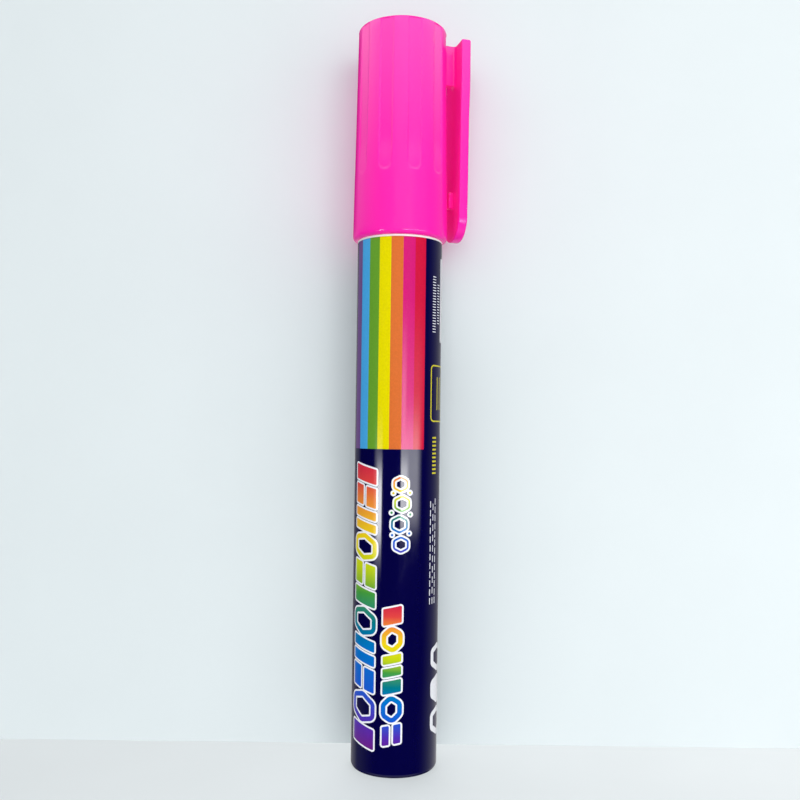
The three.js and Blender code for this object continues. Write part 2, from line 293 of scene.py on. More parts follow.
def linear(red, green, blue):
    """A colour written as it looks on screen, 0 to 255, as the shader's linear values."""
    share = np.array([red, green, blue]) / 255
    straight = np.where(share <= 0.04045, share / 12.92, ((share + 0.055) / 1.055) ** 2.4)
    return (*straight.tolist(), 1.0)


class Finish:
    """A material's node tree, with short calls that add a node and join its inputs."""

    def __init__(self, name, **sockets):
        self.material = bpy.data.materials.new(name)
        self.material.use_nodes = True
        self.nodes = self.material.node_tree.nodes
        self.links = self.material.node_tree.links
        self.shader = self.nodes["Principled BSDF"]
        for socket, value in sockets.items():
            self.shader.inputs[socket.replace("_", " ")].default_value = value
        self.place = self.add("ShaderNodeTexCoord").outputs["Object"]

    def add(self, kind, inputs=None, **settings):
        """A node of that kind. An input's value is a number, a colour or another node's output."""
        node = self.nodes.new(kind)
        for setting, value in settings.items():
            setattr(node, setting, value)
        for socket, value in (inputs or {}).items():
            if isinstance(value, bpy.types.NodeSocket):
                self.links.new(value, node.inputs[socket])
            else:
                node.inputs[socket].default_value = value
        return node

    def join(self, output, socket):
        self.links.new(output, self.shader.inputs[socket])

    def noise(self, size, stretch=(1, 1, 1), detail=3.0, roughness=0.5, place=None):
        """Noise whose patches are about that size in millimetres, stretched along the axes."""
        scaled = self.add(
            "ShaderNodeMapping",
            {"Vector": place or self.place, "Scale": [1 / (size * MM * s) for s in stretch]},
        )
        texture = self.add(
            "ShaderNodeTexNoise",
            {"Vector": scaled.outputs[0], "Scale": 1.0, "Detail": detail, "Roughness": roughness},
        )
        return texture.outputs["Fac"]

    def spread(self, value, low, high, start=0.3, end=0.7):
        """A noise value between start and end as a number between low and high."""
        sockets = {0: value, 1: start, 2: end, 3: low, 4: high}
        return self.add("ShaderNodeMapRange", sockets).outputs[0]

    def blend(self, share, first, second):
        """Two colours mixed by a share."""
        sockets = {0: share, 6: first, 7: second}
        return self.add("ShaderNodeMix", sockets, data_type="RGBA").outputs[2]

    def mottle(self, value, first, second):
        """The base colour, mixed from two screen colours by a noise value."""
        share = self.spread(value, 0.0, 1.0)
        self.join(self.blend(share, linear(*first), linear(*second)), "Base Color")

    def bump(self, *layers):
        """Bumps laid over each other: each layer is (height value, depth in millimetres)."""
        normal = None
        for height, depth in layers:
            sockets = {"Height": height, "Strength": 1.0, "Distance": depth * MM}
            if normal is not None:
                sockets["Normal"] = normal
            normal = self.add("ShaderNodeBump", sockets).outputs[0]
        self.join(normal, "Normal")

    def height_ramp(self, stops, low, high):
        """Colours that change with height: stops are (share from low to high, colour)."""
        place = self.add("ShaderNodeSeparateXYZ", {0: self.place}).outputs["Z"]
        share = self.spread(place, 0.0, 1.0, low * MM, high * MM)
        ramp = self.add("ShaderNodeValToRGB", {"Fac": share})
        points = ramp.color_ramp.elements
        while len(points) < len(stops):
            points.new(0.5)
        for point, (position, colour) in zip(points, stops):
            point.position = position
            point.color = colour
        return ramp.outputs[0]


def moulded_plastic(name, colour, deep, roughness, scatter, glow_colour=(0, 0, 0), glow=0.0):
    """Injection-moulded plastic: faint flow clouds in the colour, a slightly uneven gloss with
    fine rubbing marks along the pen. A fluorescent colour also glows a little of its own, partly
    as its fluorescence and partly as painted light that brightens its shaded recesses."""
    skin = Finish(name, Subsurface_Weight=scatter, Subsurface_Scale=0.0012, IOR=1.49)
    skin.shader.inputs["Subsurface Radius"].default_value = (1.0, 0.55, 0.7)
    clouds = skin.noise(9.0, (1, 1, 3.0), detail=4.0)
    skin.mottle(clouds, colour, deep)
    # The emission is partly fluorescence and partly painted light that lifts shaded recesses, such
    # as the gap between cap and clip.
    skin.shader.inputs["Emission Strength"].default_value = glow
    skin.shader.inputs["Emission Color"].default_value = linear(*glow_colour)
    rubbed = skin.noise(0.5, (1, 1, 12.0), detail=4.0, roughness=0.6)
    grain = skin.noise(0.12, detail=2.0)
    skin.join(skin.spread(rubbed, roughness - 0.006, roughness + 0.006), "Roughness")
    skin.bump((skin.noise(4.0, (1, 1, 2.5)), 0.012), (grain, 0.0008))
    return skin.material


def film_print(name, colour, gloss=0.08):
    """Glossy printed film: an even ink with the faintest mottle, drawn tight round the barrel so
    that its gloss wavers in long lines, with fine scuffs from handling."""
    skin = Finish(name, IOR=1.5)
    mottle = skin.noise(0.35, detail=2.0)
    skin.mottle(mottle, colour, [0.96 * part for part in colour])
    film_surface(skin, gloss)
    return skin.material


def film_surface(skin, gloss):
    """The film's gloss and relief: long tension lines, a soft waviness and handling scuffs."""
    scuffs = skin.noise(1.4, (1, 1, 2.0), detail=6.0, roughness=0.7)
    skin.join(skin.spread(scuffs, gloss, gloss + 0.05, 0.45, 0.75), "Roughness")
    tension = skin.noise(1.7, (1, 1, 30.0), detail=2.0)
    waves = skin.noise(6.0, (1, 1, 5.0), detail=1.0)
    skin.bump((waves, 0.018), (tension, 0.0035), (scuffs, 0.0004))


def graded_ink(name, low, high):
    """Ink that runs from violet at the low end through the spectrum to red at the high end."""
    skin = Finish(name, IOR=1.5)
    stops = [
        (0.00, linear(104, 30, 130)),
        (0.09, linear(78, 44, 172)),
        (0.19, linear(22, 84, 200)),
        (0.33, linear(0, 112, 196)),
        (0.43, linear(0, 116, 128)),
        (0.53, linear(66, 150, 60)),
        (0.62, linear(190, 205, 20)),
        (0.72, linear(232, 204, 20)),
        (0.82, linear(232, 150, 50)),
        (0.91, linear(216, 66, 62)),
        (1.00, linear(198, 24, 68)),
    ]
    skin.join(skin.height_ramp(stops, low, high), "Base Color")
    film_surface(skin, 0.08)
    return skin.material


def bonded_fibre(name):
    """Nib fibre: fine strands that run along the nib, matt, with a soft nap."""
    skin = Finish(name, Sheen_Weight=0.25, Sheen_Roughness=0.5, Roughness=0.92)
    strands = skin.noise(0.12, (1, 1, 14.0), detail=4.0, roughness=0.7)
    skin.mottle(strands, (250, 248, 240), (228, 224, 210))
    skin.bump((strands, 0.03))
    return skin.material


def soft_rubber(name):
    """Matt black rubber with a fine moulded grain and a trace of bloom."""
    skin = Finish(name)
    bloom = skin.noise(1.5, detail=5.0)
    skin.mottle(bloom, (38, 38, 40), (58, 58, 60))
    skin.join(skin.spread(bloom, 0.62, 0.8), "Roughness")
    skin.bump((skin.noise(0.08, detail=2.0), 0.006))
    return skin.material


def drawn_steel(name):
    """Bright steel with fine drawing marks."""
    skin = Finish(name, Metallic=1.0)
    marks = skin.noise(0.06, (1, 1, 5.0), detail=4.0)
    skin.mottle(marks, (205, 206, 210), (176, 177, 182))
    skin.join(skin.spread(marks, 0.16, 0.34), "Roughness")
    skin.bump((marks, 0.0015))
    return skin.material


# The pink's glow is partly fluorescence and partly painted light that brightens the shaded recess
# between cap and clip.
pink_plastic = moulded_plastic(
    "pink_plastic", (236, 33, 166), (232, 30, 162), 0.18, 0.12, glow_colour=(255, 8, 140), glow=0.15
)
white_plastic = moulded_plastic("white_plastic", (244, 243, 238), (236, 236, 230), 0.36, 0.1)
navy_film = film_print("navy_film", (4, 2, 60))
nib_fibre = bonded_fibre("nib_fibre")
dark_rubber = soft_rubber("dark_rubber")
bright_steel = drawn_steel("bright_steel")
stripe_inks = [
    film_print("violet_ink", (100, 62, 128)),
    film_print("blue_ink", (69, 161, 221)),
    film_print("green_ink", (99, 154, 45)),
    film_print("yellow_ink", (226, 212, 0)),
    film_print("orange_ink", (216, 110, 50)),
    film_print("magenta_ink", (209, 27, 116)),
    film_print("red_ink", (204, 22, 61)),
]
white_ink = film_print("white_ink", (240, 240, 246))
yellow_line_ink = film_print("yellow_line_ink", (214, 202, 40))


# Cap


def cap_wall_radius(height):
    """The drafted outer wall: its radius falls evenly from the rim to the top."""
    return mouth_radius - cap_draft * (height - rim_height) / (cap_top - rim_height)


def flute_depth(turn, height, wall):
    """How deep the flutes cut at an angle and height: a flat floor square to the flute's middle,
    inside a strip with a round lower end, its border eased over a short width. It grows
    shallower upwards, since the wall is drafted more than the floor, and runs out downwards to
    a small share of its depth."""
    pitch = 2 * np.pi / flute_count
    off_middle = (turn / pitch) % 1.0 * pitch - pitch / 2
    across = wall * np.sin(off_middle)
    below = np.minimum(height - rim_height - flute_start - flute_width / 2, 0)
    inside = flute_width / 2 - np.hypot(across, below)
    ease = flute_ease * (1 + 0.5 * np.clip(-2 * below / flute_width, 0, 1))
    risen = eased((height - rim_height - flute_start) / flute_run)
    run_out = flute_end_share + (1 - flute_end_share) * risen
    floor = (flute_floor - flute_slope * (height - rim_height - flute_start)) / np.cos(off_middle)
    return np.maximum(wall - floor, 0) * eased(inside / ease + 0.5) * run_out


def cap_columns():
    """Angles round the cap, close together where a flute's sides lie and wide apart between."""
    pitch = 360 / flute_count
    side = math.degrees(math.asin(flute_width / 2 / mouth_radius))
    near = 2.4
    marks = [-pitch / 2, -side - near, -side + near, side - near, side + near, pitch / 2]
    spans = zip(marks, marks[1:], (5, 16, 5, 16, 5))
    one = np.concatenate([np.linspace(a, b, n, endpoint=False) for a, b, n in spans])
    turns = one[None, :] + pitch * (np.arange(flute_count)[:, None] + 0.5)
    return np.radians(turns.reshape(-1))


def cap_shell():
    """The cap as one closed wall: the outline goes up the outside, over the top and down the
    bore past the click bead, and the flutes push the outside in by their depth. Its rows lie
    close together where the flutes run out."""
    inside_top = cap_top - cap_roof
    inside_radius = cap_wall_radius(inside_top) - cap_wall
    bead = mouth_bore - click_bead_rise
    top_edge = cap_wall_radius(cap_top)
    corners = [
        (mouth_bore, rim_height, 0.2),
        (mouth_radius, rim_height, rim_round),
        (top_edge, cap_top, cap_top_round),
        (0, cap_top, 0),
        (0, inside_top, 0),
        (inside_radius, inside_top, 0.4),
        (mouth_bore - 0.02, rim_height + 2.4, 0),
        (bead, rim_height + 1.9, 0.15),
        (bead, rim_height + 0.9, 0.15),
        (mouth_bore, rim_height + 0.7, 0),
    ]
    outline = divided(rounded(corners, 8), 1.2)
    flute_end = rim_height + flute_start
    fine_low, fine_span, fine_rows = flute_end - 0.45, 8.6, 72
    fine = fine_low + fine_span * np.linspace(0, 1, fine_rows) ** 1.5
    outer = outline[:, 0] > cap_wall_radius(outline[:, 1]) - 1e-3
    near = outer & (outline[:, 1] > fine[0] - 0.05) & (outline[:, 1] < fine[-1] + 0.05)
    first = np.argmax(near)
    dense = np.stack([cap_wall_radius(fine), fine], -1)
    outline = np.concatenate([outline[:first], dense, outline[first + near.sum():]])
    outer = outline[:, 0] > cap_wall_radius(outline[:, 1]) - 1e-3
    turn = cap_columns()
    radius, height = outline[:, :1], outline[:, 1:]
    depth = flute_depth(turn, height, radius) * outer[:, None]
    points = round_axis(radius - depth, height, turn)
    return points.reshape(-1, 3), grid(len(outline), len(turn))


def ribs_round(count, inner, outer, thickness, low, high, edge=0.12):
    """Straight ribs along the pen, spaced evenly round the axis."""
    middle = ((inner + outer) / 2, 0, (low + high) / 2)
    half = ((outer - inner) / 2, thickness / 2, (high - low) / 2)
    return joined([soft_block(middle, half, edge, 360 * i / count, steps=4) for i in range(count)])


make_piece("cap_shell", cap_shell(), [pink_plastic], "cap", ["cap"], smooth=30)
liner_ribs = ribs_round(
    liner_rib_count,
    liner_high[1] + 0.1,
    liner_rib_reach,
    liner_rib_thickness,
    cap_top - cap_roof - liner_rib_length,
    cap_top - 1.0,
)
make_piece("liner_ribs", liner_ribs, [pink_plastic], "cap")

# Liner that closes over the nib
lip_radius = 5.1
liner_bore = 5.4
make_piece(
    "nib_liner",
    turned(
        [
            (lip_radius, liner_low[2], 0.15),
            (liner_high[1], liner_low[2], 0.3),
            (liner_high[1], liner_high[2], 0.3),
            (0, liner_high[2], 0),
            (0, liner_high[2] - 1.0, 0),
            (liner_bore, liner_high[2] - 1.0, 0.6),
            (liner_bore, liner_low[2] + 1.8, 0),
            (lip_radius, liner_low[2] + 1.5, 0.1),
        ]
    ),
    [white_plastic],
    "cap",
    ["inner_cap"],
)


# Clip


def tongue_outline(step=0.35):
    """Points round the clip seen from outside, (across, height), and the middle line's point
    that each shrinks towards: down one side, round the half-circle end, up the other, and back
    along the square top."""
    half, turn_height = clip_half_width, clip_end + clip_half_width
    sides = int((root_top - turn_height - half) / (step * 2))
    up = np.linspace(0, 1, sides, endpoint=False)
    inner_top = root_top - half
    right = np.stack([0 * up + half, inner_top + (turn_height - inner_top) * up], -1)
    bend = np.linspace(0, np.pi, 40, endpoint=False)
    end = np.stack([half * np.cos(bend), turn_height - half * np.sin(bend)], -1)
    left = np.stack([0 * up - half, turn_height + (inner_top - turn_height) * up], -1)
    rise = np.linspace(inner_top, root_top, 12, endpoint=False)
    fall = np.linspace(root_top, inner_top, 12, endpoint=False)
    left_shoulder = np.stack([0 * rise - half, rise], -1)
    top = np.stack([np.linspace(-half, half, 24, endpoint=False), np.full(24, root_top)], -1)
    right_shoulder = np.stack([0 * fall + half, fall], -1)
    outline = np.concatenate([right, end, left, left_shoulder, top, right_shoulder])
    middle = np.stack([0 * outline[:, 0], np.clip(outline[:, 1], turn_height, inner_top)], -1)
    return outline, middle


def clip_tongue():
    """The clip: an outline with a half-round end, carried through its thickness. Each point
    moves in from the outline by an edge's quarter circle, then straight to the middle line.
    The outer face is crowned across, and below the root the whole leans in by a small angle."""
    outline, middle = tongue_outline()
    half = clip_half_width
    turn = np.linspace(0, np.pi / 2, 7)
    sides = []
    for edge in (clip_outer_edge, clip_inner_edge):
        flat = np.linspace(half, edge, 7, endpoint=False)
        inset = np.concatenate([flat, edge * (1 - np.sin(turn))])
        depth = np.concatenate([np.zeros(7), edge * (1 - np.cos(turn))])[:, None]
        share = (inset / half)[:, None, None]
        face = outline[None] * (1 - share) + middle[None] * share
        sides.append((face[..., 0], face[..., 1], depth))
    (across, height, depth), (inner_across, inner_height, inner_depth) = sides
    crown = clip_crown * (across / half) ** 2 * eased((root_bottom - 1 - height) / 6)
    slope = math.tan(math.radians(clip_lean))
    outer = clip_outside - depth - crown - slope * np.maximum(root_bottom - height, 0)
    inner = clip_outside - clip_thickness + inner_depth
    inner = inner - slope * np.maximum(root_bottom - inner_height, 0)
    outside = np.stack([outer, across, height], -1)
    inside = np.stack([inner, inner_across, inner_height], -1)[::-1]
    return tube(np.concatenate([outside, inside]))


def clip_bridge():
    """The rib between cap and clip: a section in width and height carried outwards, thicker
    where it runs into the cap and into the clip by the quarter circles of its fillets."""
    inner, outer = mouth_radius - cap_draft - 0.9, clip_outside - clip_thickness / 2
    wall, plate = cap_wall_radius(root_top) - 0.05, clip_outside - clip_thickness
    reach = np.linspace(0, 1, 9)
    near_wall, near_plate = wall + bridge_flare * reach, plate - bridge_flare * reach[::-1]
    out = np.concatenate([[inner], near_wall, near_plate, [outer]])
    from_wall = 1 - np.clip((out - wall) / bridge_flare, 0, 1)
    from_plate = 1 - np.clip((plate - out) / bridge_flare, 0, 1)
    flare = bridge_flare * (2 - np.sqrt(1 - from_wall**2) - np.sqrt(1 - from_plate**2))
    turn = (np.arange(64) + 0.5) * 2 * np.pi / 64
    edge = 0.18
    middle_height, half_height = (root_top + root_bottom) / 2, (root_top - root_bottom) / 2
    cosine, sine, flare = np.cos(turn), np.sin(turn), flare[:, None]
    wide = (bridge_half - edge) * np.sign(cosine) + edge * cosine
    wide = wide + flare * np.sign(cosine) * np.abs(cosine) ** 0.5
    high = (half_height - edge) * np.sign(sine) + edge * sine
    high = high - flare * np.clip(-sine, 0, 1) ** 0.5
    points = np.stack([out[:, None] + 0 * turn, wide, middle_height + high], -1)
    ends = [0 * row + row.mean(1, keepdims=True) for row in (points[:1], points[-1:])]
    return tube(np.concatenate([ends[0], points, ends[1]]))


def clip_pip():
    """The gripping pip: a soft-edged block on the clip's inner face."""
    lean = math.tan(math.radians(clip_lean)) * (root_bottom - pip_height)
    face = clip_outside - clip_thickness - lean
    half = pip_half + np.array([0.3, 0, 0])
    half[0] /= 2
    return soft_block((face + 0.3 - half[0], 0, pip_height), half, 0.3)


tongue = make_piece("clip_tongue", clip_tongue(), [pink_plastic], None, ["clip"])
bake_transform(tongue)
make_piece("clip_bridge", clip_bridge(), [pink_plastic], "cap")
make_piece("clip_pip", clip_pip(), [pink_plastic], "clip")


# Barrel and its printed film


def barrel_tube():
    """The ink tube: a dished floor, a filleted butt and a snap groove near its open end."""
    bore = barrel_radius - 1.0
    groove = label_top - 7.9
    return turned(
        [
            (0, 0.25, 0),
            (4.6, 0.25, 0),
            (4.9, 0, 0.1),
            (barrel_radius, 0, butt_fillet),
            (barrel_radius, label_top, 0.1),
            (bore, label_top, 0.1),
            (bore, groove + 1.8, 0),
            (bore + 0.2, groove + 1.6, 0),
            (bore + 0.2, groove + 0.2, 0),
            (bore, groove, 0),
            (bore, 2.6, 0.5),
            (2.0, 1.5, 0),
            (0, 1.5, 0),
        ],
        columns_round,
    )


def label_sleeve():
    """The film: a thin sleeve that ends in a tuck round the butt's fillet. Returns the shape
    and, for each quad, the number of its ink: nought for the ground, then the stripes."""
    centre, inner = barrel_radius - butt_fillet, butt_fillet + 0.1
    outer = inner + film_thickness
    tuck = np.radians(np.linspace(-film_tuck, 0, 9))
    brim_height = label_top + film_rise
    heights = np.append(np.linspace(butt_fillet, brim_height - 0.04, 26), stripe_foot)
    heights = np.unique(heights)[1:]
    tuck_turn = np.stack([np.cos(tuck), np.sin(tuck)], -1)
    tucked = [np.array([centre, butt_fillet]) + r * tuck_turn for r in (outer, inner)]
    wall = [np.stack([0 * heights + centre + r, heights], -1) for r in (outer, inner)]
    brim = np.array([[centre + outer - 0.04, brim_height], [centre + inner + 0.04, brim_height]])
    outline = np.concatenate([tucked[0], wall[0], brim, wall[1][::-1], tucked[1][::-1]])
    turn = np.radians(label_middle + stripe_left + np.arange(columns_round) * 360 / columns_round)
    points = round_axis(outline[:, :1], outline[:, 1:], turn)
    quads = grid(len(outline), columns_round)
    row, column = np.divmod(np.arange(len(quads)), columns_round)
    stripe = (column * 360 / columns_round // stripe_width).astype(int)
    first_wall_row = len(tuck)
    last_wall_row = first_wall_row + len(heights)
    low = outline[row, 1]
    striped = (row >= first_wall_row) & (row < last_wall_row) & (low > stripe_foot - 1e-6)
    striped &= stripe < len(stripe_inks)
    return (points.reshape(-1, 3), quads), np.where(striped, stripe + 1, 0)


make_piece("barrel_tube", barrel_tube(), [white_plastic], "pen_body", ["barrel"])
sleeve, sleeve_inks = label_sleeve()
make_piece(
    "label_sleeve",
    sleeve,
    [navy_film, *stripe_inks],
    "pen_body",
    ["label_film"],
    inks=sleeve_inks,
)


# Prints on the film. Places are (millimetres round the pen to the right of the label's middle
# line, height), and a print is a thin closed patch that stands a few hundredths proud.
print_sink = 0.05
longest_print_side = 0.35
border_rise = 0.015
fill_rise = 0.03
outline_width = 0.32


def convex(corners, radius, steps=7):
    """A convex shape with rounded corners, anticlockwise: at each corner an arc of that radius
    turns from the side before to the side after. A single corner makes a disc."""
    corners = np.array(corners, float)
    if len(corners) == 1:
        turn = np.arange(40) * 2 * np.pi / 40
        return corners + radius * np.stack([np.cos(turn), np.sin(turn)], -1)
    sides = np.roll(corners, -1, 0) - corners
    heading = np.unwrap(np.arctan2(sides[:, 1], sides[:, 0])) - np.pi / 2
    before = np.roll(heading, 1)
    before[0] -= 2 * np.pi
    share = np.linspace(0, 1, steps)
    turn = before[:, None] + (heading - before)[:, None] * share
    arcs = corners[:, None] + radius * np.stack([np.cos(turn), np.sin(turn)], -1)
    return arcs.reshape(-1, 2)


def wrapped(flat, rise):
    """Flat points laid round the film: the first number is an arc length, the second a height."""
    turn = math.radians(label_middle) + flat[..., 0] / pen_radius
    return round_axis(pen_radius + rise, flat[..., 1], turn)


def patch(outline, proud, rings=7):
    """A print inside an outline: rings shrink evenly to its middle on top and underneath."""
    shape = divided(outline, longest_print_side)
    middle = shape.mean(0)
    share = np.linspace(0, 1, rings)[:, None, None]
    flat = middle + (shape[None] - middle) * share
    return tube(np.concatenate([wrapped(flat, proud), wrapped(flat[::-1], -print_sink)]))


def frame_patch(corners, inner_radius, outer_radius, proud):
    """A ring print: the strip between a shape and the same shape with wider corners."""
    inner, shape = convex(corners, inner_radius), convex(corners, outer_radius)
    counts = side_counts(shape, longest_print_side)
    inner, shape = cut_sides(inner, counts), cut_sides(shape, counts)
    share = np.linspace(0, 1, 5)[:, None, None]
    flat = inner[None] + (shape - inner)[None] * share
    points = np.concatenate([wrapped(flat, proud), wrapped(flat[::-1], -print_sink)])
    rows, columns = points.shape[:2]
    return points.reshape(-1, 3), grid(rows, columns)


def slanted(across, height, wide, tall, slant):
    """The four corners of a leaning bar, anticlockwise, about its middle."""
    signs = [(-1, -1), (1, -1), (1, 1), (-1, 1)]
    corners = [(x * wide / 2, y * tall / 2) for x, y in signs]
    return [(across + x, height + y - slant * x) for x, y in corners]


def leaning_cell(across, height, wide, tall, slant):
    """The six corners of a leaning honeycomb cell, anticlockwise, that fills a width and height."""
    turns = np.radians(30 + 60 * np.arange(6))
    half_wide, half_tall = wide / 2 / math.cos(math.radians(30)), tall / 2
    corners = [(half_wide * math.cos(a), half_tall * math.sin(a)) for a in turns]
    return [(across + x, height + y - slant * x) for x, y in corners]


def solid_motif(corners):
    """A filled shape and its wider white border."""
    fill = patch(convex(corners, motif_round), fill_rise)
    return [fill], [patch(convex(corners, motif_round + outline_width), border_rise)]


def ring_motif(corners, width):
    """A ring and its white border, which shows inside and outside it."""
    start = 0.08
    fill = frame_patch(corners, start + outline_width, start + outline_width + width, fill_rise)
    return [fill], [frame_patch(corners, start, start + 2 * outline_width + width, border_rise)]


def motif_band(across, low, wide, slant, motifs):
    """A column of outlined motifs, each a (kind, height) pair: a bar, a cell, or two bars side by
    side or one above the other. Returns the fills and the borders as two shapes."""
    fills, borders = [], []
    trim = 2 * (motif_round + outline_width)
    for kind, tall in motifs:
        middle = low + tall / 2
        low += tall + motif_gap
        half = wide / 4 + motif_gap / 4
        if kind == "cell":
            room = trim + 2 * cell_stroke - 0.1
            cell = leaning_cell(across, middle, wide - room, tall - room, slant)
            made = [ring_motif(cell, cell_stroke)]
        elif kind == "beside":
            narrow = wide / 2 - motif_gap / 2 - trim
            places = [(across + x, middle - slant * x) for x in (-half, half)]
            made = [solid_motif(slanted(x, y, narrow, tall - trim, slant)) for x, y in places]
        elif kind == "above":
            quarter = tall / 4 + motif_gap / 4
            short = tall / 2 - motif_gap / 2 - trim
            places = [middle - quarter, middle + quarter]
            made = [solid_motif(slanted(across, y, wide - trim, short, slant)) for y in places]
        else:
            made = [solid_motif(slanted(across, middle, wide - trim, tall - trim, slant))]
        for fill, border in made:
            fills += fill
            borders += border
    return joined(fills), joined(borders)


def rule(across, low, high, width=0.16):
    """A thin straight line print along the pen."""
    corner = 0.03
    shape = slanted(across, (low + high) / 2, width - 2 * corner, high - low, 0)
    return patch(convex(shape, corner, 3), border_rise, 3)


def dashes(across, low, high, length, gap, width):
    """A row of short rules along the pen."""
    starts = np.arange(low, high - length + 1e-6, length + gap)
    return [rule(across, start, start + length, width) for start in starts]


motif_round = 0.22
motif_gap = 0.12
cell_stroke = 0.85
left_motifs = [
    ("bar", 4.2), ("cell", 5.6), ("beside", 4.6), ("above", 5.0), ("cell", 5.2), ("bar", 3.4),
    ("beside", 4.6), ("cell", 5.0), ("above", 4.4), ("beside", 4.2), ("bar", 3.4),
]
right_motifs = [
    ("beside", 4.0), ("cell", 4.8), ("bar", 2.9), ("above", 4.4), ("cell", 4.6), ("bar", 3.6),
]
left_fill, left_border = motif_band(-6.45, 5.0, 5.9, 0.22, left_motifs)
right_fill, right_border = motif_band(-0.5, 5.8, 4.0, -0.22, right_motifs)

# A loose group of small cells and dots: (millimetres round, height, radius) and places
bubbles = [(0.85, 41.6, 1.15), (0.55, 45.2, 1.3), (1.0, 48.9, 1.2), (0.7, 52.4, 1.05)]
dots = [(-0.75, 43.3), (2.35, 43.6), (-0.9, 47.3), (2.5, 47.0), (-0.6, 50.8), (2.4, 50.9)]
small_parts = [ring_motif(leaning_cell(x, z, r * 1.2, r * 1.2, 0), 0.34) for x, z, r in bubbles]
small_parts += [solid_motif([(x, z)]) for x, z in dots]
bubble_fill = joined([part for fill, _ in small_parts for part in fill])
bubble_border = joined([part for _, border in small_parts for part in border])

# To the right, along the film's side: rows of ticks and dashes, a panel, a frame and three cells
side_white = dashes(7.6, 80.3, 90.6, 0.09, 0.42, 1.0) + dashes(9.1, 82.0, 89.4, 0.09, 0.42, 0.9)
for across, gap in ((7.1, 0.5), (7.9, 0.8), (8.7, 0.4)):
    side_white += dashes(across, 30.5, 50.0, 1.1, gap, 0.2)
cell_levels = (8.8, 14.6, 20.4)
low_cell, middle_cell, high_cell = [leaning_cell(10.6, z, 3.6, 3.0, 0.15) for z in cell_levels]
side_white += [frame_patch(cell, 0.1, 1.1, border_rise) for cell in (low_cell, high_cell)]
side_white.append(patch(convex(middle_cell, 1.1), border_rise))
panel = [(10.6, 79.0), (16.5, 79.0), (16.5, 94.0), (10.6, 94.0)]
side_white.append(patch(convex(panel, 0.4), border_rise))
side_yellow = dashes(8.1, 54.2, 61.6, 0.26, 0.46, 1.3)
frame_corners = [(7.6, 64.6), (11.6, 64.6), (11.6, 73.4), (7.6, 73.4)]
side_yellow.append(frame_patch(frame_corners, 0.6, 0.85, border_rise))
side_yellow += [rule(9.0, 66.0, 72.0, 0.25), rule(10.2, 66.0, 72.0, 0.25)]

prints = [
    ("print_borders", joined([left_border, right_border, bubble_border]), white_ink),
    ("print_left_column", left_fill, graded_ink("left_ink", 5, 57)),
    ("print_right_column", right_fill, graded_ink("right_ink", 5, 31)),
    ("print_small_cells", bubble_fill, graded_ink("small_cell_ink", 38, 56)),
    ("print_side_white", joined(side_white), white_ink),
    ("print_side_yellow", joined(side_yellow), yellow_line_ink),
]
for name, shape, ink in prints:
    make_piece(name, shape, [ink], "pen_body")


# Front section, nib and valve


def front_body():
    """The white front piece: spigot, flange, neck with its click ring, cone and nib sleeve."""
    low, flange, top = front_low[2], label_top, front_high[2]
    neck, land, sleeve_radius = pen_radius - 0.6, 5.0, 4.5
    spigot = barrel_radius - 1.1
    neck_top = flange + 10.0
    return turned(
        [
            (5.5, low, 0.1),
            (spigot, low, 0.2),
            (spigot, flange - 7.6, 0),
            (spigot + 0.2, flange - 7.4, 0.05),
            (spigot + 0.2, flange - 6.4, 0.05),
            (spigot, flange - 6.2, 0),
            (spigot, flange - 2.78, 0),
            (spigot - 0.64, flange - 2.78, 0),
            (spigot - 0.64, flange - 2.02, 0),
            (spigot, flange - 2.02, 0),
            (spigot, flange, 0),
            (barrel_radius, flange, 0),
            (barrel_radius, flange + film_rise + 0.03, 0),
            (pen_radius, flange + film_rise + 0.03, 0.05),
            (pen_radius, flange + 0.6, 0.12),
            (neck, flange + 0.6, 0.12),
            (neck, flange + 2.6, 0),
            (neck + 0.12, flange + 3.1, 0.4),
            (neck + 0.12, flange + 3.7, 0.4),
            (neck, flange + 4.2, 0),
            (neck, neck_top, 1.0),
            (neck - 1.0, neck_top, 0.2),
            (land, neck_top + 7.6, 0.3),
            (land, neck_top + 9.6, 0.12),
            (sleeve_radius, neck_top + 9.6, 0.15),
            (sleeve_radius, top, 0.4),
            (nib_radius + 0.35, top, 0.12),
            (nib_radius + 0.35, flange + 13.15, 0),
            (4.0, flange + 12.5, 0),
            (4.0, flange + 7.0, 0),
            (5.5, flange + 7.0, 0),
        ],
        columns_round,
        3.0,
    )


def nib_rod():
    """The fibre nib: a rod with a bevelled rear end and a bullet-shaped front, whose radius
    falls from the rod's to a small flat as the cosine of an even turn."""
    turn = np.linspace(0, np.pi / 2, 14)
    dome, flat, bevel = 3.6, 0.8, 0.3
    rear, tip = nib_low[2], nib_high[2]
    back = [(0, rear, 0), (nib_radius - bevel, rear, 0), (nib_radius, rear + bevel, 0)]
    front_radius = flat + (nib_radius - flat) * np.cos(turn)
    front = zip(front_radius, tip - dome + dome * np.sin(turn), 0 * turn)
    return turned([*back, *front, (0, tip, 0)], columns_small, 1.5)


